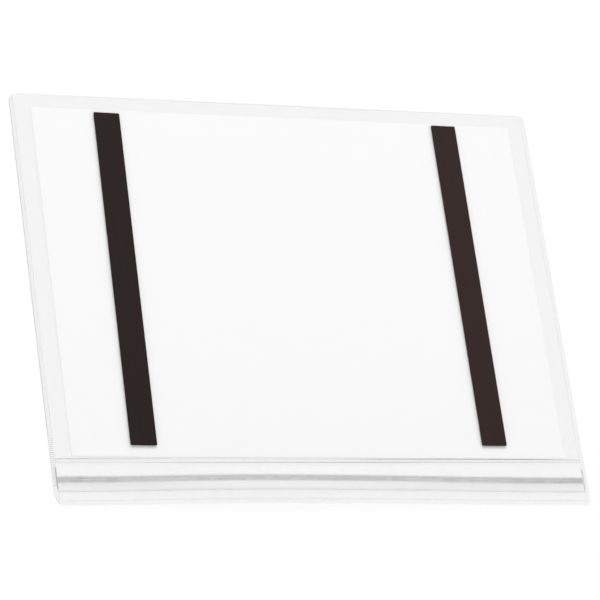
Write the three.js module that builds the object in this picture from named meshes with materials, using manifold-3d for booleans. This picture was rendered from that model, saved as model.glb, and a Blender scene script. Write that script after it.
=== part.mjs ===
// A clear pocket for one landscape sheet, with two magnet strips on its back.
// It lies on its front, so the back and the strips face up.
// Millimetres. X runs along the long side, Y up the short side, Z out of the back.
// The origin is under the middle of the pocket.
// Every piece of film is a section swept across the width. A section's points are
// [drop, height]: drop is the distance down from the pocket's top edge.

import * as THREE from 'three';
import { mergeVertices } from 'three/addons/utils/BufferGeometryUtils.js';
import Module from 'manifold-3d';

// Sheet of paper and the room around it
const SHEET_WIDTH = 297;
const SHEET_HEIGHT = 210;
const SHEET_THICKNESS = 0.1;
const SHEET_FROM_LEFT = 12.4;
const SHEET_FROM_RIGHT = 11.6;
const SHEET_FROM_TOP = 8;
const SHEET_TO_FLAP = 1;
const SHEET_PLAY = 0.4;

// Film and its side seams
const FILM_THICKNESS = 0.3;
const SEAM_WIDTH = 2.4;
const SEAM_SLOPE = 2;
const SEAM_FILL = 0.1;

// Roundness of each corner, across and down, as the welding tool cut them
const CORNER_TOP_LEFT = [5, 5];
const CORNER_TOP_RIGHT = [3.5, 3.5];
const CORNER_BOTTOM_LEFT = [4.2, 9];
const CORNER_BOTTOM_RIGHT = [3, 3];

// Mouth: the lip turned up at the bottom, and the flap that hangs over it
const MOUTH_HEIGHT = 11;
const LIP_HEIGHT = 16.1;
const LIP_GAP = 0.3;
const FOLD_RADIUS = 0.9;
const FOLD_LENGTH = 2.5;
const FLAP_SKEW = 0.6;
const FLAP_OVERLAP_LEFT = 2.9;
const FLAP_OVERLAP_RIGHT = 1.4;
const FLAP_TAB = 5.1;
const FLAP_TAB_GAP = 0.3;

// Press seal: a barbed rib on the lip and the channel on the flap that closes over it
const RAIL_WIDTH = 3.6;
const RAIL_BASE = 0.3;
const RIB_STEM_WIDTH = 0.6;
const RIB_STEM_HEIGHT = 0.7;
const RIB_HEAD_WIDTH = 1.2;
const RIB_HEAD_HEIGHT = 0.45;
const RIB_TIP_WIDTH = 0.7;
const RAIL_CLEARANCE = 0.25;
const CHANNEL_WALL = 0.6;
const CHANNEL_HOOK = 0.3;

// How far the closed mouth arches up from what the pocket lies on
const RISE_HEIGHT = 4.3;
const RISE_AT_BOTTOM = 2.9;
const RISE_PEAK_FROM_LEFT = 124;

// Magnet strips and the tape that holds them, with how each was laid by hand
const STRIP_WIDTH = 15.2;
const STRIP_THICKNESS = 0.7;
const STRIP_CORNER = 0.5;
const STRIP_FROM_LEFT = 55.4;
const STRIP_FROM_RIGHT = 55;
const STRIP_FROM_TOP = 9.9;
const STRIP_TO_FLAP = 7.8;
const TAPE_THICKNESS = 0.15;
const TAPE_INSET = 0.3;
const TAPE_CORNER = 0.3;
const LEFT_STRIP_SHIFT = -0.5;
const LEFT_STRIP_TURN = -0.75;
const RIGHT_STRIP_SHIFT = 0.5;
const RIGHT_STRIP_TURN = -0.23;

// How finely the swept shapes are divided
const SPANS = 20;
const ARC_STEPS = 6;
const RISE_STEPS = 4;
const CORNER_STEPS = 6;

// Sizes that follow
const WIDTH = SHEET_FROM_LEFT + SHEET_WIDTH + SHEET_FROM_RIGHT;
const FLAP_TOP = SHEET_FROM_TOP + SHEET_HEIGHT + SHEET_TO_FLAP;
const LIP_EDGE = FLAP_TOP + MOUTH_HEIGHT;
const HEIGHT = LIP_EDGE + LIP_HEIGHT;
const RAIL_END = LIP_EDGE + RAIL_WIDTH;
const FLAP_EDGE = RAIL_END + FLAP_TAB;
const RISE_START = FLAP_TOP + FLAP_OVERLAP_LEFT + FILM_THICKNESS;
const RISE_END = FLAP_EDGE + FILM_THICKNESS;
const SEAM_UNDERSIDE = FILM_THICKNESS + SEAM_FILL;
const SEAM_TOP = SEAM_UNDERSIDE + FILM_THICKNESS;
const BACK_UNDERSIDE = FILM_THICKNESS + SHEET_THICKNESS + SHEET_PLAY;
const BACK_TOP = BACK_UNDERSIDE + FILM_THICKNESS;
const LIP_UNDERSIDE = FILM_THICKNESS + LIP_GAP;
const LIP_TOP = LIP_UNDERSIDE + FILM_THICKNESS;
const RIB_HEIGHT = RAIL_BASE + RIB_STEM_HEIGHT + RIB_HEAD_HEIGHT;
const SEAL_HEIGHT = RIB_HEIGHT + RAIL_CLEARANCE + RAIL_BASE;
const STRIP_LENGTH = FLAP_TOP - STRIP_FROM_TOP - STRIP_TO_FLAP;

const wasm = await Module();
wasm.setup();

// Materials
function plastic(color, roughness, opacity) {
  const transparent = opacity < 1;
  return new THREE.MeshStandardMaterial({ color, roughness, metalness: 0, opacity, transparent });
}

const clearFilm = plastic(0xf2f3f4, 0.2, 0.35);
const sealFilm = plastic(0xc6c8cb, 0.35, 0.8);
const paperWhite = plastic(0xfbfbfb, 0.9, 1);
const ferriteBrown = plastic(0x36292a, 0.7, 1);
const tapeWhite = plastic(0xd8d4cc, 0.6, 0.7);

// Helpers for numbers
function mix(from, to, share) {
  return from + (to - from) * share;
}

function smooth(share) {
  const t = Math.min(Math.max(share, 0), 1);
  return t * t * (3 - 2 * t);
}

function evenly(from, to, count) {
  return Array.from({ length: count + 1 }, (_, i) => mix(from, to, i / count));
}

// Points of an arc about [drop, height], its angle measured from the way down the pocket
function arc(drop, height, radius, from, to) {
  return evenly(from, to, ARC_STEPS).map((a) => [drop + radius * Math.cos(a), height + radius * Math.sin(a)]);
}

// How open the pocket is at a place across it: 0 in a side seam, 1 between the slopes beside the seams
function openness(across) {
  const inside = Math.min(across, WIDTH - across) - SEAM_WIDTH;
  return Math.min(Math.max(inside / SEAM_SLOPE, 0), 1);
}

// Height of the arch at a place on the pocket
function rise(across, drop) {
  const span = WIDTH - 2 * SEAM_WIDTH;
  const peak = RISE_PEAK_FROM_LEFT - SEAM_WIDTH;
  const inside = Math.min(Math.max(across - SEAM_WIDTH, 0), span);
  const turn = inside < peak ? inside / peak / 2 : 0.5 + (inside - peak) / (span - peak) / 2;
  const arch = Math.sin(Math.PI * turn) ** 2;
  const down = smooth((drop - RISE_START) / (LIP_EDGE - RISE_START));
  const tail = Math.min(Math.max((drop - RISE_END) / (HEIGHT - RISE_END), 0), 1);
  return arch * mix(RISE_HEIGHT * down, RISE_AT_BOTTOM, tail);
}

// Sweeps a closed section from one place across the pocket to another
function sweep(places, sectionAt) {
  const rings = places.map((across) => {
    const points = sectionAt(across);
    return points.map(([drop, height]) => [
      across - WIDTH / 2,
      HEIGHT / 2 - drop,
      height + rise(across, drop),
    ]);
  });
  const outline = rings[0].map(([, y, z]) => new THREE.Vector2(y, z));
  if (THREE.ShapeUtils.area(outline) < 0) {
    rings.forEach((ring) => ring.reverse());
    outline.reverse();
  }
  const size = outline.length;
  const faces = [];
  for (let ring = 0; ring < rings.length - 1; ring += 1) {
    for (let i = 0; i < size; i += 1) {
      const next = (i + 1) % size;
      const here = ring * size;
      const there = here + size;
      faces.push(here + i, here + next, there + next);
      faces.push(here + i, there + next, there + i);
    }
  }
  const last = (rings.length - 1) * size;
  THREE.ShapeUtils.triangulateShape(outline, []).forEach(([a, b, c]) => {
    faces.push(c, b, a);
    faces.push(last + a, last + b, last + c);
  });
  const geometry = new THREE.BufferGeometry();
  geometry.setAttribute('position', new THREE.Float32BufferAttribute(rings.flat(2), 3));
  geometry.setIndex(faces);
  return geometry;
}

// Places across the pocket where the sections stand, with and without the seams
const insidePlaces = evenly(SEAM_WIDTH + SEAM_SLOPE, WIDTH - SEAM_WIDTH - SEAM_SLOPE, SPANS);
const allPlaces = [0, SEAM_WIDTH, ...insidePlaces, WIDTH - SEAM_WIDTH, WIDTH];

// Between a closed shape and the solid that booleans work on
function toSolid(geometry) {
  const bare = geometry.clone();
  bare.deleteAttribute('normal');
  bare.deleteAttribute('uv');
  const merged = mergeVertices(bare);
  const mesh = new wasm.Mesh({
    numProp: 3,
    vertProperties: merged.attributes.position.array,
    triVerts: new Uint32Array(merged.index.array),
  });
  return new wasm.Manifold(mesh);
}

function fromSolid(solid) {
  const mesh = solid.getMesh();
  const geometry = new THREE.BufferGeometry();
  geometry.setAttribute('position', new THREE.BufferAttribute(mesh.vertProperties, 3));
  geometry.setIndex(new THREE.BufferAttribute(mesh.triVerts, 1));
  return geometry;
}

// A box from its lowest and highest corners, given as across, drop and height
function block(low, high) {
  const geometry = new THREE.BoxGeometry(high[0] - low[0], high[1] - low[1], high[2] - low[2]);
  geometry.translate(
    (low[0] + high[0] - WIDTH) / 2,
    (HEIGHT - low[1] - high[1]) / 2,
    (low[2] + high[2]) / 2,
  );
  return geometry;
}

// A plate standing on height 0 about the origin, with corners of the given roundness,
// which starts at the bottom right and goes round to the bottom left
function roundedPlate(width, length, corners, thickness) {
  const x = width / 2;
  const y = length / 2;
  const quarter = Math.PI / 2;
  const shape = new THREE.Shape();
  const signs = [[1, -1], [1, 1], [-1, 1], [-1, -1]];
  signs.forEach(([sideX, sideY], i) => {
    const [across, down] = corners[i];
    const start = (i - 1) * quarter;
    const centre = [sideX * (x - across), sideY * (y - down)];
    shape.absellipse(...centre, across, down, start, start + quarter);
  });
  const settings = { depth: thickness, bevelEnabled: false, curveSegments: CORNER_STEPS };
  return new THREE.ExtrudeGeometry(shape, settings);
}

function evenCorners(radius) {
  return Array.from({ length: 4 }, () => [radius, radius]);
}

function piece(name, geometry, material) {
  const mesh = new THREE.Mesh(geometry, material);
  mesh.name = name;
  mesh.geometry.computeVertexNormals();
  return mesh;
}

// Edge of the back panel, which was cut a little out of square with the flap
function backEdge(across) {
  return FLAP_TOP + mix(FLAP_OVERLAP_LEFT, FLAP_OVERLAP_RIGHT, across / WIDTH);
}

// The pocket: one film folded over at the top and turned up into a lip at the bottom
function pocketSection(across) {
  const open = openness(across);
  const backUnderside = mix(SEAM_UNDERSIDE, BACK_UNDERSIDE, open);
  const lipUnderside = mix(SEAM_UNDERSIDE, LIP_UNDERSIDE, open);
  const topRadius = (backUnderside + FILM_THICKNESS) / 2;
  const foldRadius = mix(SEAM_TOP / 2, FOLD_RADIUS, open);
  const foldMiddle = HEIGHT - foldRadius;
  const foldStart = HEIGHT - FOLD_LENGTH;
  const edge = backEdge(across);
  const frontDrops = [...evenly(RISE_START, LIP_EDGE, RISE_STEPS), RISE_END, foldStart];
  const lipDrops = [foldStart, RISE_END, RAIL_END, LIP_EDGE];
  const quarter = Math.PI / 2;
  return [
    [edge, backUnderside + FILM_THICKNESS],
    ...arc(topRadius, topRadius, topRadius, quarter, 3 * quarter),
    ...frontDrops.map((drop) => [drop, 0]),
    ...arc(foldMiddle, foldRadius, foldRadius, -quarter, quarter),
    ...lipDrops.map((drop) => [drop, lipUnderside + FILM_THICKNESS]),
    ...lipDrops.toReversed().map((drop) => [drop, lipUnderside]),
    ...arc(foldMiddle, foldRadius, foldRadius - FILM_THICKNESS, quarter, -quarter),
    ...frontDrops.toReversed().map((drop) => [drop, FILM_THICKNESS]),
    ...arc(topRadius, topRadius, topRadius - FILM_THICKNESS, 3 * quarter, quarter),
    [edge, backUnderside],
  ];
}

// What the side seams melt together: the gap between the films, and the stretch between back and lip
function seamFill(left) {
  const bite = SEAM_FILL / 2;
  const right = left + SEAM_WIDTH;
  const gap = block(
    [left, SEAM_TOP, FILM_THICKNESS - bite],
    [right, HEIGHT - SEAM_TOP, SEAM_UNDERSIDE + bite],
  );
  const step = block(
    [left, FLAP_TOP, FILM_THICKNESS - bite],
    [right, LIP_EDGE + RAIL_WIDTH / 2, SEAM_TOP],
  );
  return toSolid(gap).add(toSolid(step));
}

function pocketFilm() {
  const corners = [CORNER_BOTTOM_RIGHT, CORNER_TOP_RIGHT, CORNER_TOP_LEFT, CORNER_BOTTOM_LEFT];
  const outline = roundedPlate(WIDTH, HEIGHT, corners, 4 * RISE_HEIGHT);
  outline.translate(0, 0, -RISE_HEIGHT);
  const film = toSolid(sweep(allPlaces, pocketSection))
    .add(seamFill(0))
    .add(seamFill(WIDTH - SEAM_WIDTH))
    .intersect(toSolid(outline));
  return piece('pocket_film', fromSolid(film), clearFilm);
}

// The flap: a strip joined to the back panel a little askew, which hangs over the seal to a free tab
function flapSection(across) {
  const open = openness(across);
  const sealTop = LIP_TOP + SEAL_HEIGHT;
  const slope = [
    [FLAP_TOP + mix(FLAP_SKEW, 0, across / WIDTH), BACK_TOP],
    [RISE_START, BACK_TOP],
    ...evenly(0, 1, RISE_STEPS).slice(1).map((share) => [
      mix(RISE_START, LIP_EDGE, share),
      mix(BACK_TOP, sealTop, smooth(share)),
    ]),
    [RAIL_END, sealTop],
    ...evenly(0, 1, RISE_STEPS).slice(1).map((share) => [
      mix(RAIL_END, FLAP_EDGE, share),
      mix(sealTop, LIP_TOP + FLAP_TAB_GAP, smooth(share)),
    ]),
  ];
  const underside = slope.map(([drop, height]) => [drop, mix(SEAM_TOP, height, open)]);
  const outside = underside.map(([drop, height]) => [drop, height + FILM_THICKNESS]);
  return [...underside, ...outside.reverse()];
}

// The seal's two rails, lying on the lip and hanging under the flap
function mirrored(half) {
  return [...half, ...half.toReversed().map(([side, height]) => [-side, height])];
}

function ribRailSection() {
  const stem = RIB_STEM_WIDTH / 2;
  const stemTop = RAIL_BASE + RIB_STEM_HEIGHT;
  const half = [
    [RAIL_WIDTH / 2, 0],
    [RAIL_WIDTH / 2, RAIL_BASE],
    [stem, RAIL_BASE],
    [stem, stemTop],
    [RIB_HEAD_WIDTH / 2, stemTop],
    [RIB_TIP_WIDTH / 2, RIB_HEIGHT],
  ];
  return mirrored(half);
}

function channelRailSection() {
  const inside = RIB_HEAD_WIDTH / 2 + RAIL_CLEARANCE;
  const outside = inside + CHANNEL_WALL;
  const hook = RIB_STEM_WIDTH / 2 + RAIL_CLEARANCE;
  const roof = RIB_HEIGHT + RAIL_CLEARANCE;
  const wallEnd = RAIL_BASE + RAIL_CLEARANCE;
  const hookTop = RAIL_BASE + RIB_STEM_HEIGHT - RAIL_CLEARANCE;
  const half = [
    [RAIL_WIDTH / 2, SEAL_HEIGHT],
    [RAIL_WIDTH / 2, roof],
    [outside, roof],
    [outside, wallEnd],
    [hook, wallEnd],
    [hook, hookTop],
    [inside, hookTop + CHANNEL_HOOK / 2],
    [inside, roof],
  ];
  return mirrored(half);
}

function sealRail(name, profile) {
  const middle = LIP_EDGE + RAIL_WIDTH / 2;
  const placed = profile.map(([side, height]) => [middle + side, LIP_TOP + height]);
  return piece(name, sweep(insidePlaces, () => placed), sealFilm);
}

// The sheet of paper, lying on the front panel
function paperSheet() {
  const geometry = block(
    [SHEET_FROM_LEFT, SHEET_FROM_TOP, FILM_THICKNESS],
    [SHEET_FROM_LEFT + SHEET_WIDTH, SHEET_FROM_TOP + SHEET_HEIGHT, FILM_THICKNESS + SHEET_THICKNESS],
  );
  return piece('paper_sheet', geometry, paperWhite);
}

// One magnet strip on its tape, laid by hand on the back panel
function magnetStrip(side, x, shift, turn) {
  const tapeWidth = STRIP_WIDTH - 2 * TAPE_INSET;
  const tapeLength = STRIP_LENGTH - 2 * TAPE_INSET;
  const tape = roundedPlate(tapeWidth, tapeLength, evenCorners(TAPE_CORNER), TAPE_THICKNESS);
  const magnet = roundedPlate(STRIP_WIDTH, STRIP_LENGTH, evenCorners(STRIP_CORNER), STRIP_THICKNESS);
  magnet.translate(0, 0, TAPE_THICKNESS);
  const strip = new THREE.Group();
  strip.add(piece(`adhesive_tape_${side}`, tape, tapeWhite));
  strip.add(piece(`magnet_strip_${side}`, magnet, ferriteBrown));
  strip.position.set(x, HEIGHT / 2 - STRIP_FROM_TOP - STRIP_LENGTH / 2 + shift, BACK_TOP);
  strip.rotation.z = THREE.MathUtils.degToRad(turn);
  return strip;
}

const leftStripX = STRIP_FROM_LEFT - WIDTH / 2;
const rightStripX = WIDTH / 2 - STRIP_FROM_RIGHT;
const group = new THREE.Group();
group.name = 'magnetic_document_pocket';
group.add(pocketFilm());
group.add(piece('closing_flap', sweep(allPlaces, flapSection), clearFilm));
group.add(sealRail('seal_rail_lower', ribRailSection()));
group.add(sealRail('seal_rail_upper', channelRailSection()));
group.add(paperSheet());
group.add(magnetStrip('left', leftStripX, LEFT_STRIP_SHIFT, LEFT_STRIP_TURN));
group.add(magnetStrip('right', rightStripX, RIGHT_STRIP_SHIFT, RIGHT_STRIP_TURN));

export default group;
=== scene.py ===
"""Dresses a clear document pocket with magnet strips: its film, seams, seal, paper, strips and studio."""

import math

import bmesh
import bpy
from bpy.props import FloatProperty, FloatVectorProperty, PointerProperty
from mathutils import Matrix, Vector


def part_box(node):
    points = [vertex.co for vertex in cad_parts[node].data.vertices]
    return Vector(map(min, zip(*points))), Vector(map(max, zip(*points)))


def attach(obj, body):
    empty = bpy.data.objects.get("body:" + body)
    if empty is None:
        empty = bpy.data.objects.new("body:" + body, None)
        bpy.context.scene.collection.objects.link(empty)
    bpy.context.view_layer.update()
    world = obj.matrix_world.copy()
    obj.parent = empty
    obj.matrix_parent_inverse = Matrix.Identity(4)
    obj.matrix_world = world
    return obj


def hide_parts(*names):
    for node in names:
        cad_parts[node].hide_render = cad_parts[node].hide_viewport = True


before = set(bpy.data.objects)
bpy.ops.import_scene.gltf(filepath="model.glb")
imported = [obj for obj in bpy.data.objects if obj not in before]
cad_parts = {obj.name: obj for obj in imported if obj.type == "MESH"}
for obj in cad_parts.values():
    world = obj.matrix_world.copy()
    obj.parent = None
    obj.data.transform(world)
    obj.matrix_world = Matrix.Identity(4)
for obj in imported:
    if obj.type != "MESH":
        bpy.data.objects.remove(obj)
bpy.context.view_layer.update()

bl_info = {
    "name": "Magnetic document pocket",
    "version": (1, 0, 0),
    "blender": (4, 5, 0),
    "location": "3D View > Sidebar > Document pocket",
    "description": "Builds the looks of a clear document pocket with magnet strips",
    "category": "Add Mesh",
}

MM = 0.001
BODY = "root"

# Roundness of the pocket's corners, across and down: the top one and the bottom one of each side
CORNERS = {
    "left": ((5 * MM, 5 * MM), (4.2 * MM, 9 * MM)),
    "right": ((3.5 * MM, 3.5 * MM), (3 * MM, 3 * MM)),
}

# Widths in mm of the flat band of painted shade along the flap's welded edge and the back panel's cut edge,
# at equal steps from left to right
FLAP_EDGE_SHADE = (0.3, 0.25, 0.04, 0.04, 0.06, 0.4, 0.42, 0.5, 0.15)
BACK_EDGE_SHADE = (0.03, 0.03, 0.2, 0.28, 0.32, 0.32, 0.16, 0.13, 0.02)

# How far in mm the flap's welded edge bows up from straight, at equal steps from left to right
FLAP_BOW = (0, 0, 0.1, 0.1, 0.15, 0.3, 0.4, 0.4, 0)

# Steps along each stretch of the pocket's film and of the flap
PANEL_STEPS = 24
FOLD_STEPS = 8
MOUTH_STEPS = 6
CURL_STEPS = 5
LIP_STEPS = 8
FLAP_RISE_STEPS = 12
FLAP_FALL_STEPS = 10
CORNER_STEPS = 6

# Distance between the places across the pocket where its film is drawn
PLACE_STEP = 4 * MM

# Stations across a side seam, as shares of its width, and how deep the ribs' grooves are there
SEAM_STATIONS = ((0.0, 0), (0.1, 0), (0.18, 1), (0.84, 1), (0.92, 0), (1.0, 0))
RIB_STEPS = 4

# Numbers of the film's material slots, in the order of film_materials
CLEAR, EDGE, RIM, FOLD, SEAM, WELD_END_SHADE, MOUTH, GROOVE, DARK_GROOVE = range(9)

# Where the photograph was taken from, its right and its up, and where the key lamp hangs
CAMERA_PLACE = (-0.77237, -0.75022, 1.69528)
CAMERA_RIGHT = (0.9230, -0.1342, 0.3606)
CAMERA_UP = (-0.0215, 0.9177, 0.3966)
KEY_PLACE = (0.0, 2.2, 2.4)


# Numbers and colours


def mix(start, end, share):
    return start + (end - start) * share


def clamp(value, low=0.0, high=1.0):
    return min(max(value, low), high)


def smooth(share):
    t = clamp(share)
    return t * t * (3 - 2 * t)


def evenly(start, end, count):
    return [mix(start, end, i / count) for i in range(count + 1)]


def linear(hex_colour):
    """The linear red, green and blue of an sRGB hex colour."""
    channels = [int(hex_colour[i : i + 2], 16) / 255 for i in (1, 3, 5)]
    return tuple(
        c / 12.92 if c <= 0.04045 else ((c + 0.055) / 1.055) ** 2.4 for c in channels
    )


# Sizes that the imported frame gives


def drop_of(y):
    """How far down from the pocket's top edge a place in the frame lies."""
    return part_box("pocket_film")[1].y - y


film_low, film_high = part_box("pocket_film")
flap_low, flap_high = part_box("closing_flap")
rail_low, rail_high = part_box("seal_rail_lower")


def length(name, description, default, lowest=0.0):
    return FloatProperty(
        name=name,
        description=description,
        default=default,
        min=lowest,
        subtype="DISTANCE",
        unit="LENGTH",
        precision=5,
    )


def colour(name, description, hex_colour):
    return FloatVectorProperty(
        name=name,
        description=description,
        default=linear(hex_colour),
        size=3,
        min=0.0,
        max=1.0,
        subtype="COLOR",
    )


def share(name, description, default):
    return FloatProperty(
        name=name,
        description=description,
        default=default,
        min=0.0,
        max=1.0,
        subtype="FACTOR",
    )


class FilmSizes(bpy.types.PropertyGroup):
    """Sizes of the pocket's film."""

    width: length("Width", "Long side of the pocket", film_high.x - film_low.x)
    height: length("Height", "Short side of the pocket", film_high.y - film_low.y)
    thickness: length("Film thickness", "Thickness of the soft film", 0.3 * MM)
    seam: length("Seam width", "Width of a welded side seam", 2.4 * MM)
    slope: length("Seam slope", "Width over which the films part beside a seam", 2 * MM)
    seam_top: length("Seam height", "Height of a side seam's top", 0.7 * MM)
    back_under: length("Back panel height", "Height of the back panel's underside", 0.8 * MM)
    rib_pitch: length("Rib pitch", "Distance between the welding ribs", 1.15 * MM, 0.1 * MM)
    rib_depth: length("Rib depth", "Depth of the grooves between welding ribs", 0.14 * MM)
    rib_end: length("Rib end", "Drop at which the ribs fade out", 236 * MM)
    # The grooves near the mouth get darker painted shade; the ribs are no deeper there
    dark_groove_reach: length("Deep ribs", "How far above the flap the left grooves show darker", 12 * MM)
    inset: length("Seam inset", "Gap between a seam's inner side and the end of its ribs", 0.1 * MM)


class MouthSizes(bpy.types.PropertyGroup):
    """Sizes of the mouth: the lip, the flap over it and the press seal between."""

    flap_top: length("Flap top", "Drop of the flap's welded edge", drop_of(flap_high.y))
    flap_edge: length("Flap edge", "Drop of the flap's free edge", drop_of(flap_low.y))
    flap_skew: length("Flap skew", "How much lower the flap's top edge is at the left", 0.6 * MM)
    overlap_left: length("Left overlap", "The back panel's reach under the flap, at the left", 2.9 * MM)
    overlap_right: length("Right overlap", "The same reach at the right", 1.4 * MM)
    lip_edge: length("Lip edge", "Drop of the lip's free edge", drop_of(rail_high.y))
    lip_under: length("Lip height", "Height of the lip's underside", 0.6 * MM)
    fold_radius: length("Fold radius", "Radius of the fold at the bottom edge", 0.9 * MM)
    fold_length: length("Fold length", "How far up the fold's bulge reaches", 2.5 * MM)
    tab_gap: length("Tab gap", "Gap between the flap's free edge and the lip", 0.3 * MM)
    tab_flat: length("Tab flat", "Width of the flat stretch at the flap's free edge", 1.1 * MM)
    seam_step: length("Seam step", "Drop over which the seam steps up onto the flap", 0.6 * MM)
    # The band of the seams' inner side that gets dark painted shade where the rails' crushed ends meet them;
    # the seams' shape is not crushed there
    end_shade_above: length("Crush above", "How far above the lip the seam is crushed", 5.5 * MM)
    end_shade_below: length("Crush below", "How far above the flap's free edge the crushing ends", 2 * MM)
    rail_width: length("Rail width", "Width of a seal rail", rail_high.y - rail_low.y)
    rise: length("Rise", "How far the mouth arches up at its peak", 4.3 * MM)
    rise_bottom: length("Rise at the bottom", "How far the bottom edge arches up", 2.9 * MM)
    rise_peak: length("Rise peak", "Distance of the arch's peak from the left edge", 124 * MM)


class RailSizes(bpy.types.PropertyGroup):
    """Sizes of the press seal's two rails."""

    base: length("Base", "Thickness of a rail's base", 0.3 * MM)
    stem: length("Stem width", "Width of the rib's stem", 0.6 * MM)
    stem_height: length("Stem height", "Height of the rib's stem", 0.7 * MM)
    head: length("Head width", "Width of the rib's barbed head", 1.2 * MM)
    head_height: length("Head height", "Height of the rib's barbed head", 0.45 * MM)
    tip: length("Tip width", "Width of the rib's tip", 0.7 * MM)
    play: length("Play", "Play between rib and channel", 0.25 * MM)
    wall: length("Channel wall", "Thickness of the channel's walls", 0.6 * MM)
    hook: length("Hook", "Rise of the channel's hooks", 0.15 * MM)
    end_gap: length("End gap", "Gap between a rail's end and the seam", 0.2 * MM)


class StripSizes(bpy.types.PropertyGroup):
    """Sizes of the magnet strips."""

    width: length("Strip width", "Width of a magnet strip", 15.2 * MM)
    run: length("Strip length", "Length of a magnet strip", 201.3 * MM)
    corner: length("Strip corner", "Radius of a strip's corners", 0.5 * MM)
    edge: length("Rounded edge", "Radius worn on a strip's cut edges", 0.15 * MM)


class Finishes(bpy.types.PropertyGroup):
    """Colours and clearness of the pocket's materials."""

    film: colour("Film", "What the film throws back", "#F5F5F6")
    # Clear film: its own tint, darkened further as painted shadow that the film casts on the floor
    film_passes: colour("Clear film", "What a face of the film lets by", "#FDFDFD")
    # Flap and lip: the same film, painted lighter than the clear film to offset the shade of the seal and
    # the arched mouth
    mouth_passes: colour("Flap and lip", "What a face of the flap or the lip lets by", "#FEFEFE")
    # Cut edges: painted shade, a darker tint for the dark line along the film's edges
    edge_shade_passes: colour("Cut edge", "What a face of a cut edge lets by", "#DADADA")
    # Seam rims: painted shade, a darker tint along the left seam's outer edge
    rim_shade_passes: colour("Trimmed rim", "What a face of a seam's trimmed rim lets by", "#E6E6E6")
    # Creases: painted shade, a darker tint where the film bends
    crease_shade_passes: colour("Fold", "What a face of a fold lets by", "#F4F4F4")
    # The seams' own tint, also laid as painted shade on the top fold's rounding and along the flap's free
    # edge
    seam_and_shade_passes: colour("Seam", "What a face of a ribbed seam lets by", "#FAFAFA")
    # Grooves: painted shade, a darker tint in the grooves between the left seam's ribs
    groove_shade_passes: colour("Groove", "What a face lets by in the grooves of the left seam", "#F5F5F5")
    # Grooves near the mouth: darker painted shade
    dark_groove_shade_passes: colour("Deep groove", "What a face lets by in the grooves near the mouth", "#EEEEEE")
    # Seam ends: painted shade, a dark tint where the rails' crushed ends meet the seams
    crushed_weld_shade_passes: colour("Crushed weld", "What a face lets by where the rails end in the seams", "#D0D0D0")
    seal_passes: colour("Seal", "What a face of a rail lets by", "#F5F5F5")
    paper: colour("Paper", "The sheet of paper", "#FCFCFC")
    # One magnet material in two copies: the right strip is painted a lighter brown than the left, for the
    # light that falls on it
    magnet_left_shaded: colour("Left magnet", "The flexible magnet strip at the left", "#261B1C")
    magnet_right_lit: colour("Right magnet", "The flexible magnet strip at the right", "#302322")
    tape: colour("Tape", "The tape under the strips", "#D6D3CB")
    haze: share("Haze", "Share of light that a face of the film throws back, seen head on", 0.03)


class StageSettings(bpy.types.PropertyGroup):
    """The floor, the lamps and the camera."""

    floor: length("Floor size", "Side of the square floor", 12.0)
    floor_gap: length("Floor gap", "Gap between the pocket and the floor", 0.05 * MM)
    sky: FloatProperty(name="Sky", description="Strength of the white surroundings", default=0.84, min=0.0)
    key: FloatProperty(
        name="Key lamp",
        description="Power of the key lamp",
        default=36.0,
        min=0.0,
        subtype="POWER",
        unit="POWER",
    )
    key_size: length("Key lamp size", "Side of the square key lamp", 0.8)
    glow: share("Floor glow", "Share of plain white in the floor as it is seen", 0.6)
    lens: FloatProperty(
        name="Lens",
        description="Focal length of the camera",
        default=213.3,
        min=1.0,
        subtype="DISTANCE_CAMERA",
        unit="CAMERA",
    )


# The pocket's shape. A place on it is given by its distance across from the left edge,
# its drop from the top edge and its height over what the pocket lies on.


def openness(across):
    """0 in a side seam and 1 between the slopes beside the seams."""
    film = bpy.context.scene.film_sizes
    inside = min(across, film.width - across) - film.seam
    return smooth(inside / film.slope)


def rise(across, drop):
    """How far the mouth arches up at a place."""
    film, mouth = bpy.context.scene.film_sizes, bpy.context.scene.mouth_sizes
    span = film.width - 2 * film.seam
    peak = mouth.rise_peak - film.seam
    inside = clamp(across - film.seam, 0.0, span)
    turn = inside / peak / 2 if inside < peak else 0.5 + (inside - peak) / (span - peak) / 2
    arch = math.sin(math.pi * turn) ** 2
    start = mouth.flap_top + mouth.overlap_left + film.thickness
    end = mouth.flap_edge + film.thickness
    down = smooth((drop - start) / (mouth.lip_edge - start))
    tail = clamp((drop - end) / (film.height - end))
    return arch * mix(mouth.rise * down, mouth.rise_bottom, tail)


def corner_cut(depth, reach, distance):
    """How deep a corner is cut at a distance along the edge, of which it rounds off the reach."""
    outside = 1 - clamp(distance / reach)
    return depth * (1 - math.sqrt(1 - outside**2))


def side_cut(side, drop):
    """How far a side edge runs in from straight, where it rounds into the ends."""
    film = bpy.context.scene.film_sizes
    top, bottom = CORNERS[side]
    return corner_cut(*top, drop) + corner_cut(*bottom, film.height - drop)


def end_cut(across):
    """How far the top edge and the bottom edge run in at a place across the pocket."""
    film = bpy.context.scene.film_sizes
    side = "left" if across < film.width / 2 else "right"
    inside = min(across, film.width - across)
    return [corner_cut(down, wide, inside) for wide, down in CORNERS[side]]


def to_frame(across, drop, height):
    film = bpy.context.scene.film_sizes
    return (
        across - film.width / 2,
        film.height / 2 - drop,
        height + rise(across, drop),
    )


def back_edge(across):
    """Drop of the back panel's lower edge, which was cut a little out of square."""
    film, mouth = bpy.context.scene.film_sizes, bpy.context.scene.mouth_sizes
    return mouth.flap_top + mix(mouth.overlap_left, mouth.overlap_right, across / film.width)


def uneven(across, sizes):
    """A size in metres at a place across, from its sizes in mm at equal steps from left to right."""
    film = bpy.context.scene.film_sizes
    place = clamp(across / film.width) * (len(sizes) - 1)
    first = min(int(place), len(sizes) - 2)
    return mix(sizes[first], sizes[first + 1], smooth(place - first)) * MM


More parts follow.
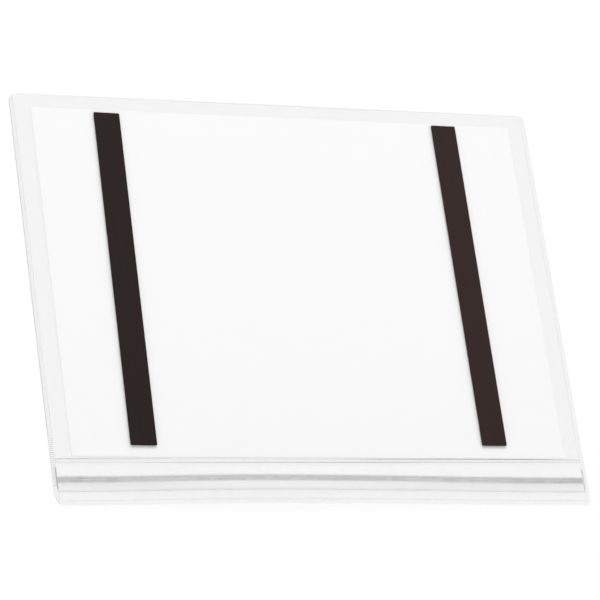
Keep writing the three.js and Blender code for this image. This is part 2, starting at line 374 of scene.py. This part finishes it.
def places_across(step):
    """Places from seam to seam, closer together on the slopes beside the seams."""
    film = bpy.context.scene.film_sizes
    left = evenly(film.seam, film.seam + film.slope, 5)
    start, end = left[-1], film.width - left[-1]
    middle = evenly(start, end, round((end - start) / step))
    right = [film.width - across for across in reversed(left)]
    return left[:-1] + middle + right[1:]


# Meshes


def make_piece(name, points, faces, slots, materials, sharp=35):
    """A closed piece that rides with the pocket, smooth but for its sharp edges."""
    mesh = bpy.data.meshes.new(name)
    mesh.from_pydata(points, [], faces)
    for material in materials:
        mesh.materials.append(material)
    mesh.polygons.foreach_set("material_index", slots)
    shape = bmesh.new()
    shape.from_mesh(mesh)
    bmesh.ops.recalc_face_normals(shape, faces=shape.faces)
    shape.to_mesh(mesh)
    shape.free()
    mesh.shade_smooth()
    mesh.set_sharp_from_angle(angle=math.radians(sharp))
    mesh.validate()
    piece = bpy.data.objects.new(name, mesh)
    bpy.context.scene.collection.objects.link(piece)
    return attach(piece, BODY)


def sheet_of_film(name, places, ribbon_at, slot_at, materials):
    """Sweeps a ribbon of film across the pocket. ribbon_at gives pairs of outer and inner
    points, and slot_at the material slot at a place and a row."""
    ribbons = [ribbon_at(across) for across in places]
    rows = len(ribbons[0])
    points, faces, slots = [], [], []
    for across, ribbon in zip(places, ribbons):
        for side in (0, 1):
            points.extend(to_frame(across, *pair[side]) for pair in ribbon)

    def at(column, side, row):
        return (column * 2 + side) * rows + row

    for column in range(len(places) - 1):
        for row in range(rows - 1):
            for side in (0, 1):
                faces.append(
                    (
                        at(column, side, row),
                        at(column + 1, side, row),
                        at(column + 1, side, row + 1),
                        at(column, side, row + 1),
                    )
                )
                slots.append(slot_at(column, row))
        # The cut edges along the ribbon's two ends get the painted edge shade
        for row in (0, rows - 1):
            faces.append(
                (
                    at(column, 0, row),
                    at(column + 1, 0, row),
                    at(column + 1, 1, row),
                    at(column, 1, row),
                )
            )
            slots.append(EDGE)
    for column in (0, len(places) - 1):
        for row in range(rows - 1):
            faces.append(
                (
                    at(column, 0, row),
                    at(column, 0, row + 1),
                    at(column, 1, row + 1),
                    at(column, 1, row),
                )
            )
            slots.append(slot_at(min(column, len(places) - 2), row))
    return make_piece(name, points, faces, slots, materials)


def loft_faces(rings, size):
    """Faces between closed rings of points, one after another, and over the first and last."""
    faces = []
    for ring in range(rings - 1):
        here, there = ring * size, (ring + 1) * size
        for i in range(size):
            after = (i + 1) % size
            faces.append((here + i, there + i, there + after, here + after))
    last = (rings - 1) * size
    faces.append(tuple(range(size)))
    faces.append(tuple(last + i for i in range(size)))
    return faces


def swept_bar(name, places, section_at, materials):
    """Sweeps a closed section across the pocket, with flat ends."""
    sections = [section_at(across) for across in places]
    size = len(sections[0])
    points = [
        to_frame(across, *point)
        for across, section in zip(places, sections)
        for point in section
    ]
    faces = loft_faces(len(places), size)
    return make_piece(name, points, faces, [0] * len(faces), materials)


def arc(drop, height, radius, start, end, count):
    return [
        (drop + radius * math.cos(a), height + radius * math.sin(a))
        for a in evenly(start, end, count)
    ]


# Materials


def add_node(tree, kind, settings=None, inputs=None):
    """Adds a node. settings are its attributes, and inputs its sockets' values or links."""
    node = tree.nodes.new(kind)
    for name, value in (settings or {}).items():
        setattr(node, name, value)
    for name, value in (inputs or {}).items():
        if isinstance(value, bpy.types.NodeSocket):
            tree.links.new(value, node.inputs[name])
        else:
            node.inputs[name].default_value = value
    return node


def new_material(name):
    material = bpy.data.materials.new(name)
    material.use_nodes = True
    material.node_tree.nodes.clear()
    return material, material.node_tree


def soft_film(name, scatter, passes, haze, roughness=0.12, wave=35 * MM, wave_height=0.12 * MM):
    """Soft PVC film, calendered: what is behind shows through, under a shine that grows
    towards a glancing view and breaks up on the film's slow waves. passes is the share of
    light that a face lets by, and haze the share that it throws back."""
    material, tree = new_material(name)
    position = add_node(tree, "ShaderNodeTexCoord").outputs["Object"]
    waves = add_node(
        tree,
        "ShaderNodeTexNoise",
        inputs={"Vector": position, "Scale": 1 / wave, "Detail": 1.0, "Roughness": 0.4},
    )
    bump = add_node(
        tree,
        "ShaderNodeBump",
        inputs={"Strength": 1.0, "Distance": wave_height, "Height": waves.outputs["Fac"]},
    )
    facing = add_node(
        tree,
        "ShaderNodeLayerWeight",
        inputs={"Blend": 0.5, "Normal": bump.outputs["Normal"]},
    )
    glancing = add_node(
        tree,
        "ShaderNodeMath",
        {"operation": "POWER"},
        {0: facing.outputs["Facing"], 1: 5.0},
    )
    amount = add_node(
        tree,
        "ShaderNodeMath",
        {"operation": "MULTIPLY_ADD"},
        {0: glancing.outputs["Value"], 1: 1 - haze, 2: haze},
    )
    clear = add_node(tree, "ShaderNodeBsdfTransparent", inputs={"Color": (*passes, 1)})
    shine = add_node(
        tree,
        "ShaderNodeBsdfPrincipled",
        inputs={
            "Base Color": (*scatter, 1),
            "Roughness": roughness,
            "IOR": 1.53,
            "Normal": bump.outputs["Normal"],
        },
    )
    surface = add_node(
        tree,
        "ShaderNodeMixShader",
        inputs={0: amount.outputs["Value"], 1: clear.outputs["BSDF"], 2: shine.outputs["BSDF"]},
    )
    add_node(tree, "ShaderNodeOutputMaterial", inputs={"Surface": surface.outputs["Shader"]})
    return material


def office_paper(scatter):
    """Uncoated wood-free office paper, calendered: matt, with a faint cloudy formation of fibres."""
    material, tree = new_material("uncoated_office_paper")
    position = add_node(tree, "ShaderNodeTexCoord").outputs["Object"]
    # Formation clouds of an office sheet are about 4 mm across
    clouds = add_node(
        tree,
        "ShaderNodeTexNoise",
        inputs={"Vector": position, "Scale": 1 / (4 * MM), "Detail": 3.0},
    )
    tone = add_node(
        tree,
        "ShaderNodeMix",
        {"data_type": "RGBA"},
        {"Factor": clouds.outputs["Fac"], "A": (*scatter, 1), "B": (*[c * 0.97 for c in scatter], 1)},
    )
    # Fibres are 0.03 mm wide, drawn at 0.3 mm so that they show
    fibres = add_node(
        tree,
        "ShaderNodeTexNoise",
        inputs={"Vector": position, "Scale": 1 / (0.3 * MM), "Detail": 2.0},
    )
    bump = add_node(
        tree,
        "ShaderNodeBump",
        inputs={"Strength": 0.4, "Distance": 0.01 * MM, "Height": fibres.outputs["Fac"]},
    )
    surface = add_node(
        tree,
        "ShaderNodeBsdfPrincipled",
        inputs={
            "Base Color": tone.outputs["Result"],
            "Roughness": 0.92,
            "Specular IOR Level": 0.2,
            "Normal": bump.outputs["Normal"],
        },
    )
    add_node(tree, "ShaderNodeOutputMaterial", inputs={"Surface": surface.outputs["BSDF"]})
    return material


def flexible_magnet(name, scatter):
    """Ferrite powder bound in rubber, rolled into sheet and slit: matt and dark brown, with
    a fine speckle of powder and faint lengthwise streaks from the rollers."""
    material, tree = new_material(name)
    position = add_node(tree, "ShaderNodeTexCoord").outputs["Object"]
    # Powder grains are a few hundredths of a millimetre, drawn at 0.5 mm so that they show
    grains = add_node(
        tree,
        "ShaderNodeTexNoise",
        inputs={"Vector": position, "Scale": 1 / (0.5 * MM), "Detail": 3.0, "Roughness": 0.7},
    )
    # Roller streaks are 0.8 mm wide and about 60 mm long
    stretched = add_node(
        tree,
        "ShaderNodeMapping",
        inputs={"Vector": position, "Scale": (1 / (0.8 * MM), 1 / (60 * MM), 1 / (60 * MM))},
    )
    streaks = add_node(
        tree,
        "ShaderNodeTexNoise",
        inputs={"Vector": stretched.outputs["Vector"], "Scale": 1.0, "Detail": 2.0},
    )
    both = add_node(
        tree,
        "ShaderNodeMath",
        {"operation": "ADD"},
        {0: grains.outputs["Fac"], 1: streaks.outputs["Fac"]},
    )
    tone = add_node(
        tree,
        "ShaderNodeMapRange",
        inputs={
            "Value": both.outputs["Value"],
            "From Min": 0.6,
            "From Max": 1.4,
            "To Min": 0.88,
            "To Max": 1.12,
        },
    )
    shade = add_node(
        tree,
        "ShaderNodeVectorMath",
        {"operation": "SCALE"},
        {0: scatter, "Scale": tone.outputs["Result"]},
    )
    bump = add_node(
        tree,
        "ShaderNodeBump",
        inputs={"Strength": 0.5, "Distance": 0.02 * MM, "Height": both.outputs["Value"]},
    )
    surface = add_node(
        tree,
        "ShaderNodeBsdfPrincipled",
        inputs={
            "Base Color": shade.outputs["Vector"],
            "Roughness": 0.72,
            "Specular IOR Level": 0.1,
            "Normal": bump.outputs["Normal"],
        },
    )
    add_node(tree, "ShaderNodeOutputMaterial", inputs={"Surface": surface.outputs["BSDF"]})
    return material


def adhesive_tape(scatter):
    """Double-sided tissue tape: milky, with the tissue's faint mottling."""
    material, tree = new_material("double_sided_tissue_tape")
    position = add_node(tree, "ShaderNodeTexCoord").outputs["Object"]
    # The tissue's mottling is about 1.5 mm across
    mottling = add_node(
        tree,
        "ShaderNodeTexNoise",
        inputs={"Vector": position, "Scale": 1 / (1.5 * MM), "Detail": 3.0},
    )
    tone = add_node(
        tree,
        "ShaderNodeMix",
        {"data_type": "RGBA"},
        {"Factor": mottling.outputs["Fac"], "A": (*scatter, 1), "B": (*[c * 0.85 for c in scatter], 1)},
    )
    surface = add_node(
        tree,
        "ShaderNodeBsdfPrincipled",
        inputs={"Base Color": tone.outputs["Result"], "Roughness": 0.6},
    )
    add_node(tree, "ShaderNodeOutputMaterial", inputs={"Surface": surface.outputs["BSDF"]})
    return material


def film_materials():
    """The materials of a piece of film, which differ only in what a face lets by."""
    finish = bpy.context.scene.finishes
    names = {
        "clear_soft_pvc_film": finish.film_passes,
        "cut_edge_painted_shade": finish.edge_shade_passes,
        "seam_rim_painted_shade": finish.rim_shade_passes,
        "crease_painted_shade": finish.crease_shade_passes,
        "welded_seam_and_painted_shade": finish.seam_and_shade_passes,
        "crushed_weld_painted_shade": finish.crushed_weld_shade_passes,
        "lightened_soft_pvc_film": finish.mouth_passes,
        "groove_painted_shade": finish.groove_shade_passes,
        "groove_painted_darker_shade": finish.dark_groove_shade_passes,
    }
    scatter = tuple(finish.film)
    return [
        bpy.data.materials.get(name) or soft_film(name, scatter, tuple(passes), finish.haze)
        for name, passes in names.items()
    ]


# Pieces


class POCKET_OT_film(bpy.types.Operator):
    """Make the pocket's film: back panel, top fold, front panel, bottom fold and lip"""

    bl_idname = "pocket.film"
    bl_label = "Pocket film"

    def execute(self, context):
        film, mouth = context.scene.film_sizes, context.scene.mouth_sizes
        lip_tail = mouth.flap_edge + film.thickness
        fold_start = film.height - mouth.fold_length
        rise_start = mouth.flap_top + mouth.overlap_left + film.thickness
        # Width of the row of faces beside a cut edge or a crease
        line = film.thickness
        # How far down the top fold's roundness ends, and over what stretch a corner's cut eases out
        near_top = 2 * MM
        reach = 5 * MM
        # Rows of faces on either side of the top fold's middle that get the painted crease shade
        crease_shade_rows = FOLD_STEPS / 2 - 1
        places = places_across(PLACE_STEP)

        def ribbon(across):
            open_here = openness(across)
            seam_under = film.seam_top - film.thickness
            back = mix(seam_under, film.back_under, open_here)
            lip = mix(seam_under, mouth.lip_under, open_here)
            top_radius = (back + film.thickness) / 2
            fold = mix(film.seam_top / 2, mouth.fold_radius, open_here)
            edge = back_edge(across)
            # The first row, from the cut edge up, is a flat band painted with edge shade
            edge_shade = uneven(across, BACK_EDGE_SHADE)
            back_drops = [edge, edge - edge_shade, *evenly(mouth.flap_top - line, near_top, PANEL_STEPS)]
            front_drops = [
                *evenly(near_top, rise_start, PANEL_STEPS),
                *evenly(rise_start, mouth.lip_edge, MOUTH_STEPS)[1:],
                *evenly(mouth.lip_edge, lip_tail, MOUTH_STEPS)[1:],
                fold_start,
            ]
            lip_drops = [*evenly(lip_tail, mouth.lip_edge + line, LIP_STEPS), mouth.lip_edge]
            curl = evenly(0, 1, CURL_STEPS)[1:]
            curl_drops = [mix(film.height - fold, fold_start - line, t) for t in curl]
            curl_heights = [mix(2 * fold, lip + film.thickness, smooth(t)) for t in curl]
            half = math.pi / 2
            thin = film.thickness
            outer = [
                *((drop, back + thin) for drop in back_drops),
                *arc(top_radius, top_radius, top_radius, half, 3 * half, FOLD_STEPS),
                *((drop, 0.0) for drop in front_drops),
                *arc(film.height - fold, fold, fold, -half, half, FOLD_STEPS),
                *zip(curl_drops, curl_heights),
                *((drop, lip + thin) for drop in lip_drops),
            ]
            inner = [
                *((drop, back) for drop in back_drops),
                *arc(top_radius, top_radius, top_radius - thin, half, 3 * half, FOLD_STEPS),
                *((drop, thin) for drop in front_drops),
                *arc(film.height - fold, fold, fold - thin, -half, half, FOLD_STEPS),
                *((drop, height - thin) for drop, height in zip(curl_drops, curl_heights)),
                *((drop, lip) for drop in lip_drops),
            ]
            top_cut, bottom_cut = end_cut(across)

            def rounded(point):
                drop, height = point
                drop += top_cut * clamp(1 - drop / reach)
                drop -= bottom_cut * clamp(1 - (film.height - drop) / reach)
                return drop, height

            return [(rounded(a), rounded(b)) for a, b in zip(outer, inner)]

        # Rows of faces down the back panel, over the top fold, and on to the crease at the lip's start
        top_start = 2 + PANEL_STEPS + 1
        top_rows = range(top_start + 1, top_start + FOLD_STEPS - 1)
        top_middle = top_start + (FOLD_STEPS - 1) / 2
        bottom_start = top_start + FOLD_STEPS + 1 + PANEL_STEPS + 2 * MOUTH_STEPS + 2
        crease = bottom_start + FOLD_STEPS + CURL_STEPS - 1

        def slot(column, row):
            # Row 0, the flat band along the back panel's cut edge, gets the painted edge shade
            if row == 0:
                return EDGE
            # The crease at the lip's start gets the painted crease shade
            if row == crease:
                return FOLD
            if row in top_rows:
                # The band of painted crease shade is widest in the middle of the fold's length
                along = column / (len(places) - 1)
                # The fold's other rows get the seam tint as painted shade on its rounding
                return FOLD if abs(row - top_middle) < crease_shade_rows * math.sin(math.pi * along) else SEAM
            # The lip gets the film painted lighter to offset the seal's shade
            return MOUTH if row > crease else CLEAR

        piece = sheet_of_film("clear_film", places, ribbon, slot, film_materials())
        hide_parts("pocket_film")
        return {"FINISHED"}


class POCKET_OT_seams(bpy.types.Operator):
    """Make the two welded side seams with their ribs"""

    bl_idname = "pocket.seams"
    bl_label = "Side seams"

    def execute(self, context):
        film, mouth = context.scene.film_sizes, context.scene.mouth_sizes
        inmost = film.seam - film.inset
        end_shade_start = mouth.lip_edge - mouth.end_shade_above
        end_shade_end = mouth.flap_edge - mouth.end_shade_below
        dark_groove_start = mouth.flap_top - film.dark_groove_reach

        def rib_wave(drop):
            return math.cos(2 * math.pi * drop / film.rib_pitch)

        def heights(drop, depth):
            fade = smooth((film.rib_end - drop) / film.rib_pitch)
            groove = film.rib_depth * depth * fade * (0.5 - 0.5 * rib_wave(drop))
            below_top = smooth((drop - mouth.flap_top) / mouth.seam_step)
            above_edge = smooth((mouth.flap_edge - drop) / mouth.seam_step)
            flap = film.thickness * below_top * above_edge
            return groove, film.seam_top + flap - groove

        # The left seam's outer rim gets the darker painted edge shade, the right seam's the seam tint
        for side, rim, inner in (("left", RIM, SEAM), ("right", SEAM, MOUTH)):
            points, faces, slots = [], [], []
            start, end = end_cut(inmost if side == "left" else film.width - inmost)
            count = round((film.height - start - end) / film.rib_pitch) * RIB_STEPS
            drops = evenly(start, film.height - end, count)
            for drop in drops:
                outside = side_cut(side, drop)
                for level in (0, 1):
                    for station, depth in SEAM_STATIONS:
                        across = mix(outside, film.seam, station)
                        x = across if side == "left" else film.width - across
                        points.append(to_frame(x, drop, heights(drop, depth)[level]))
            ring = len(SEAM_STATIONS)
            for row in range(len(drops) - 1):
                here, there = row * 2 * ring, (row + 1) * 2 * ring
                middle = (drops[row] + drops[row + 1]) / 2
                end_shaded = end_shade_start < middle < end_shade_end
                near_mouth = middle > dark_groove_start
                # Near the mouth the grooves get darker painted shade and the ridges the lighter flap film
                groove, ridge = (DARK_GROOVE, MOUTH) if near_mouth else (GROOVE, CLEAR)
                # Groove faces get painted shade and ridge faces a lighter tint
                ribbed = groove if rib_wave(middle) < 0 else ridge
                for level in (0, ring):
                    for i in range(ring - 1):
                        a = here + level + i
                        b = there + level + i
                        faces.append((a, a + 1, b + 1, b))
                        # The outer band gets the painted rim shade, and the seam tint near the mouth
                        if i == 0:
                            slots.append(SEAM if near_mouth else rim)
                        # Where the rails' crushed ends meet the seam, its inner stations get a dark band of
                        # painted shade
                        elif i >= ring - 3 and end_shaded:
                            slots.append(WELD_END_SHADE)
                        elif side == "left" and middle < film.rib_end and i <= ring - 3:
                            slots.append(ribbed)
                        else:
                            slots.append(SEAM)
                for i in (0, ring - 1):
                    a = here + i
                    b = there + i
                    faces.append((a, a + ring, b + ring, b))
                    slots.append(rim if i == 0 else inner)
            for first in (0, (len(drops) - 1) * 2 * ring):
                for i in range(ring - 1):
                    a = first + i
                    faces.append((a, a + 1, a + 1 + ring, a + ring))
                    slots.append(rim)
            name = f"side_seam_{side}"
            piece = make_piece(name, points, faces, slots, film_materials(), sharp=60)
            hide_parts("pocket_film")
        return {"FINISHED"}


class POCKET_OT_flap(bpy.types.Operator):
    """Make the flap that hangs over the seal"""

    bl_idname = "pocket.flap"
    bl_label = "Closing flap"

    def execute(self, context):
        film, mouth = context.scene.film_sizes, context.scene.mouth_sizes
        lip_top = mouth.lip_under + film.thickness
        seal_top = lip_top + seal_height()
        back_top = film.back_under + film.thickness
        rail_end = mouth.lip_edge + mouth.rail_width
        rise_start = mouth.flap_top + mouth.overlap_left + film.thickness
        tab_top = lip_top + mouth.tab_gap
        # Width of the row of faces along the tab's cut edge
        line = 0.1 * MM

        def ribbon(across):
            welded = mouth.flap_top + mix(mouth.flap_skew, 0, across / film.width)
            welded -= uneven(across, FLAP_BOW)
            # The first stretch, from the welded edge down, is a flat band painted with edge shade
            shape = [
                (welded, back_top),
                (welded + uneven(across, FLAP_EDGE_SHADE), back_top),
                (rise_start, back_top),
            ]
            for t in evenly(0, 1, FLAP_RISE_STEPS)[1:]:
                drop = mix(rise_start, mouth.lip_edge, t)
                shape.append((drop, mix(back_top, seal_top, smooth(t))))
            shape.append(((mouth.lip_edge + rail_end) / 2, seal_top))
            for t in evenly(0, 1, FLAP_FALL_STEPS):
                drop = mix(rail_end, mouth.flap_edge - mouth.tab_flat, t)
                shape.append((drop, mix(seal_top, tab_top, smooth(t))))
            shape.append((mouth.flap_edge - line, tab_top))
            shape.append((mouth.flap_edge, tab_top))
            open_here = openness(across)
            under = [(drop, mix(film.seam_top, height, open_here)) for drop, height in shape]
            return [((drop, height + film.thickness), (drop, height)) for drop, height in under]

        rows = len(ribbon(film.width / 2))

        def slot(column, row):
            # The band at the welded edge and the row along the tab's cut edge get the painted edge shade
            if row in (0, rows - 2):
                return EDGE
            # The tab's flat stretch gets the seam tint as painted shade along the flap's free edge
            return SEAM if row == rows - 3 else MOUTH

        places = places_across(PLACE_STEP)
        piece = sheet_of_film("flap_film", places, ribbon, slot, film_materials())
        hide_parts("closing_flap")
        return {"FINISHED"}


def seal_height():
    rail = bpy.context.scene.rail_sizes
    return rail.base * 2 + rail.stem_height + rail.head_height + rail.play


def mirrored(half):
    return [*half, *((-side, height) for side, height in reversed(half))]


class POCKET_OT_seal(bpy.types.Operator):
    """Make the press seal's two rails, crushed flat at their ends"""

    bl_idname = "pocket.seal"
    bl_label = "Press seal"

    def execute(self, context):
        film, mouth, rail = (
            context.scene.film_sizes,
            context.scene.mouth_sizes,
            context.scene.rail_sizes,
        )
        finish = context.scene.finishes
        seal = soft_film(
            "drawn_pvc_seal",
            tuple(finish.film),
            tuple(finish.seal_passes),
            finish.haze,
            roughness=0.2,
            wave=60 * MM,
            wave_height=0.02 * MM,
        )
        middle = mouth.lip_edge + mouth.rail_width / 2
        wide = mouth.rail_width / 2
        stem_top = rail.base + rail.stem_height
        rib_top = stem_top + rail.head_height
        roof = rib_top + rail.play
        inside = rail.head / 2 + rail.play
        hook = rail.stem / 2 + rail.play
        hook_top = stem_top - rail.play
        rib = mirrored(
            [
                (wide, 0.0),
                (wide, rail.base),
                (rail.stem / 2, rail.base),
                (rail.stem / 2, stem_top),
                (rail.head / 2, stem_top),
                (rail.tip / 2, rib_top),
            ]
        )
        channel = mirrored(
            [
                (wide, seal_height()),
                (wide, roof),
                (inside + rail.wall, roof),
                (inside + rail.wall, rail.base + rail.play),
                (hook, rail.base + rail.play),
                (hook, hook_top),
                (inside, hook_top + rail.hook),
                (inside, roof),
            ]
        )
        end = film.seam + rail.end_gap
        inner = places_across(PLACE_STEP)
        places = [end, *(a for a in inner if end < a < film.width - end), film.width - end]

        def section_of(profile):
            def section(across):
                open_here = openness(across)
                floor = mix(film.seam_top, mouth.lip_under + film.thickness, open_here)
                ceiling = mix(film.seam_top, mouth.lip_under + film.thickness + seal_height(), open_here)
                scale = (ceiling - floor) / seal_height()
                return [(middle + side, floor + height * scale) for side, height in profile]

            return section

        for name, profile, node in (
            ("rib_rail", rib, "seal_rail_lower"),
            ("channel_rail", channel, "seal_rail_upper"),
        ):
            piece = swept_bar(name, places, section_of(profile), [seal])
            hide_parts(node)
        return {"FINISHED"}


class POCKET_OT_paper(bpy.types.Operator):
    """Finish the sheet of paper"""

    bl_idname = "pocket.paper"
    bl_label = "Paper sheet"

    def execute(self, context):
        paper = office_paper(tuple(context.scene.finishes.paper))
        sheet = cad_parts["paper_sheet"]
        for slot in sheet.material_slots:
            slot.material = paper
        return {"FINISHED"}


class POCKET_OT_strips(bpy.types.Operator):
    """Make the magnet strips and finish the tape that holds them"""

    bl_idname = "pocket.strips"
    bl_label = "Magnet strips"

    def execute(self, context):
        strip, finish = context.scene.strip_sizes, context.scene.finishes
        tape = adhesive_tape(tuple(finish.tape))
        # The two strips get one material in a darker and a lighter copy, painted for the light on each
        for side, shade in (("left", finish.magnet_left_shaded), ("right", finish.magnet_right_lit)):
            magnet = flexible_magnet(f"rolled_ferrite_rubber_{side}", tuple(shade))
            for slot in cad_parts[f"adhesive_tape_{side}"].material_slots:
                slot.material = tape
            node = f"magnet_strip_{side}"
            low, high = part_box(node)
            centre = (low + high) / 2
            turn = self.turn_of(node)
            levels = [(0.0, low.z)]
            for a in evenly(0, math.pi / 2, 4):
                levels.append((strip.edge * (1 - math.cos(a)), high.z - strip.edge * (1 - math.sin(a))))
            rings = [self.outline(strip, inset) for inset, _ in levels]
            points = [
                Matrix.Rotation(turn, 3, "Z") @ Vector((x, y, 0)) + Vector((centre.x, centre.y, z))
                for ring, (_, z) in zip(rings, levels)
                for x, y in ring
            ]
            faces = loft_faces(len(rings), len(rings[0]))
            slots = [0] * len(faces)
            piece = make_piece(f"ferrite_strip_{side}", points, faces, slots, [magnet], sharp=30)
            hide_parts(node)
        return {"FINISHED"}

    @staticmethod
    def turn_of(node):
        """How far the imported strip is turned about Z, from its longest straight edge."""
        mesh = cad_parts[node].data
        edges = (
            mesh.vertices[edge.vertices[1]].co - mesh.vertices[edge.vertices[0]].co
            for edge in mesh.edges
        )
        side = max(edges, key=lambda e: abs(e.y) if abs(e.x) < 0.02 * abs(e.y) else 0)
        return -math.atan2(side.x, side.y) if side.y > 0 else -math.atan2(-side.x, -side.y)

    @staticmethod
    def outline(strip, inset):
        x, y = strip.width / 2, strip.run / 2
        radius = strip.corner - inset
        points = []
        for sx, sy, start in ((1, 1, 0), (-1, 1, 1), (-1, -1, 2), (1, -1, 3)):
            for a in evenly(start * math.pi / 2, (start + 1) * math.pi / 2, CORNER_STEPS):
                points.append(
                    (
                        sx * (x - strip.corner) + radius * math.cos(a),
                        sy * (y - strip.corner) + radius * math.sin(a),
                    )
                )
        return points


class POCKET_OT_stage(bpy.types.Operator):
    """Set the floor, the lamps and the camera"""

    bl_idname = "pocket.stage"
    bl_label = "Stage"

    def execute(self, context):
        scene = context.scene
        stage = scene.stage_settings

        # Floor: matt white, lifted to full white for the eye, so that only shadows show on it
        half = stage.floor / 2
        mesh = bpy.data.meshes.new("floor")
        corners = [(-half, -half), (half, -half), (half, half), (-half, half)]
        mesh.from_pydata([(x, y, -stage.floor_gap) for x, y in corners], [], [(0, 1, 2, 3)])
        floor = bpy.data.objects.new("floor", mesh)
        scene.collection.objects.link(floor)
        material, tree = new_material("white_studio_floor")
        matt = add_node(tree, "ShaderNodeBsdfDiffuse", inputs={"Color": (*linear("#FBFBFB"), 1)})
        seen = self.seen_directly(tree)
        glow = add_node(
            tree,
            "ShaderNodeMath",
            {"operation": "MULTIPLY"},
            {0: seen, 1: stage.glow},
        )
        light = add_node(tree, "ShaderNodeEmission", inputs={"Strength": 1.0})
        both = add_node(
            tree,
            "ShaderNodeMixShader",
            inputs={0: glow.outputs["Value"], 1: matt.outputs["BSDF"], 2: light.outputs["Emission"]},
        )
        add_node(tree, "ShaderNodeOutputMaterial", inputs={"Surface": both.outputs["Shader"]})
        mesh.materials.append(material)

        # Surroundings: white to look at, and a soft even light
        world = bpy.data.worlds.new("white_studio")
        world.use_nodes = True
        tree = world.node_tree
        tree.nodes.clear()
        seen = self.seen_directly(tree)
        strength = add_node(
            tree,
            "ShaderNodeMapRange",
            inputs={"Value": seen, "To Min": stage.sky, "To Max": 1.0},
        )
        background = add_node(
            tree,
            "ShaderNodeBackground",
            inputs={"Color": (1, 1, 1, 1), "Strength": strength.outputs["Result"]},
        )
        add_node(tree, "ShaderNodeOutputWorld", inputs={"Surface": background.outputs["Background"]})
        scene.world = world

        # Key lamp: a soft box beyond the top edge, so that shadows fall towards the mouth
        lamp = bpy.data.lights.new("key_lamp", "AREA")
        lamp.shape = "SQUARE"
        lamp.size = stage.key_size
        lamp.energy = stage.key
        key = bpy.data.objects.new("key_lamp", lamp)
        place = Vector(KEY_PLACE)
        key.location = place
        key.rotation_euler = (-place).to_track_quat("-Z", "Y").to_euler()
        scene.collection.objects.link(key)

        # Camera, at the photograph's place
        camera = bpy.data.cameras.new("camera")
        camera.lens = stage.lens
        camera.sensor_width = 36
        camera.clip_end = 50
        seat = bpy.data.objects.new("camera", camera)
        right = Vector(CAMERA_RIGHT)
        up = Vector(CAMERA_UP)
        back = right.cross(up).normalized()
        up = back.cross(right).normalized()
        turn = Matrix((right.normalized(), up, back)).transposed()
        seat.matrix_world = Matrix.Translation(CAMERA_PLACE) @ turn.to_4x4()
        scene.collection.objects.link(seat)
        scene.camera = seat

        scene.view_settings.view_transform = "Standard"
        # Light passes up to ten faces of film each way
        scene.cycles.transparent_max_bounces = 64
        return {"FINISHED"}

    @staticmethod
    def seen_directly(tree):
        """A socket that is 1 for what the eye sees, straight or in a shine or through glass."""
        path = add_node(tree, "ShaderNodeLightPath")
        first = add_node(
            tree,
            "ShaderNodeMath",
            {"operation": "MAXIMUM"},
            {0: path.outputs["Is Camera Ray"], 1: path.outputs["Is Glossy Ray"]},
        )
        second = add_node(
            tree,
            "ShaderNodeMath",
            {"operation": "MAXIMUM"},
            {0: first.outputs["Value"], 1: path.outputs["Is Transmission Ray"]},
        )
        return second.outputs["Value"]


OPERATORS = (
    POCKET_OT_film,
    POCKET_OT_seams,
    POCKET_OT_flap,
    POCKET_OT_seal,
    POCKET_OT_paper,
    POCKET_OT_strips,
    POCKET_OT_stage,
)


class POCKET_PT_panel(bpy.types.Panel):
    """Lists the pocket's pieces in the sidebar"""

    bl_idname = "POCKET_PT_panel"
    bl_label = "Document pocket"
    bl_space_type = "VIEW_3D"
    bl_region_type = "UI"
    bl_category = "Document pocket"

    def draw(self, context):
        for operator in OPERATORS:
            self.layout.operator(operator.bl_idname)


GROUPS = {
    "film_sizes": FilmSizes,
    "mouth_sizes": MouthSizes,
    "rail_sizes": RailSizes,
    "strip_sizes": StripSizes,
    "finishes": Finishes,
    "stage_settings": StageSettings,
}


def register():
    for group in GROUPS.values():
        bpy.utils.register_class(group)
    for operator in OPERATORS:
        bpy.utils.register_class(operator)
    bpy.utils.register_class(POCKET_PT_panel)
    for name, group in GROUPS.items():
        setattr(bpy.types.Scene, name, PointerProperty(type=group))


def unregister():
    for name in GROUPS:
        delattr(bpy.types.Scene, name)
    bpy.utils.unregister_class(POCKET_PT_panel)
    for operator in reversed(OPERATORS):
        bpy.utils.unregister_class(operator)
    for group in reversed(GROUPS.values()):
        bpy.utils.unregister_class(group)


def main():
    register()
    for operator in OPERATORS:
        category, name = operator.bl_idname.split(".")
        getattr(getattr(bpy.ops, category), name)()


if __name__ == "__main__":
    main()
